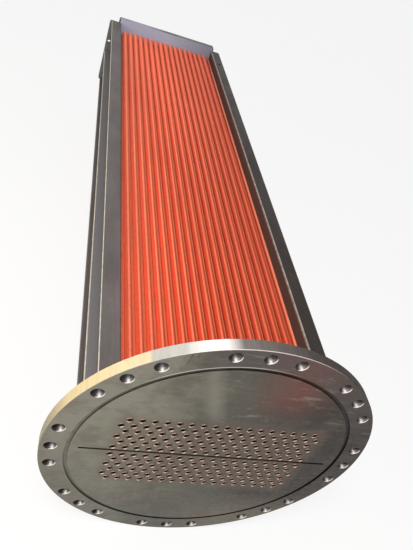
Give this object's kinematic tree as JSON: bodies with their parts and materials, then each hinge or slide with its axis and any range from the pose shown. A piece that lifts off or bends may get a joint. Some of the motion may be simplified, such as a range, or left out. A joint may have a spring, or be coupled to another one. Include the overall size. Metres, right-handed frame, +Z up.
{
  "type": "finned tube bundle",
  "caption": "Removable tube bundle of a water-cooled air cooler: finned copper tubes between a round bolted tube sheet and a rear return header, framed by side channels.",
  "frame": {"origin": "centre of the round tube sheet's outer face, where the water cover seats", "axes": "+Y along the tubes from the round tube sheet to the return header, +X along a row of tubes, +Z up across the rows"},
  "size_m": [0.8499, 2.7195, 0.85],
  "materials": {
    "machined_steel": "turned and oiled",
    "frame_steel": "mill scale, worn",
    "rear_sheet_steel": "grey primer",
    "header_paint": "satin primer",
    "copper": "bright drawn copper",
    "gasket": "matte",
    "fastener": "zinc plated",
    "plug_brass": "machined brass"
  },
  "bodies": {
    "root": {"tube_sheet": "machined_steel", "side_channel_left": "frame_steel", "side_channel_right": "frame_steel", "middle_rail_left": "frame_steel", "middle_rail_right": "frame_steel", "front_cleats": "frame_steel", "rear_cleats": "frame_steel", "cleat_screws": "fastener", "rear_tube_sheet": "rear_sheet_steel", "return_header": "header_paint", "header_gasket": "gasket", "header_bolts": "fastener", "vent_plug": "plug_brass", "drain_plug": "plug_brass", "seal_strips": "copper", "tube_row_01": "copper", "tube_row_02": "copper", "tube_row_03": "copper", "tube_row_04": "copper", "tube_row_05": "copper", "tube_row_06": "copper", "tube_row_07": "copper", "tube_row_08": "copper", "tube_row_09": "copper", "tube_row_10": "copper", "tube_row_11": "copper", "tube_row_12": "copper"}
  },
  "joints": []
}
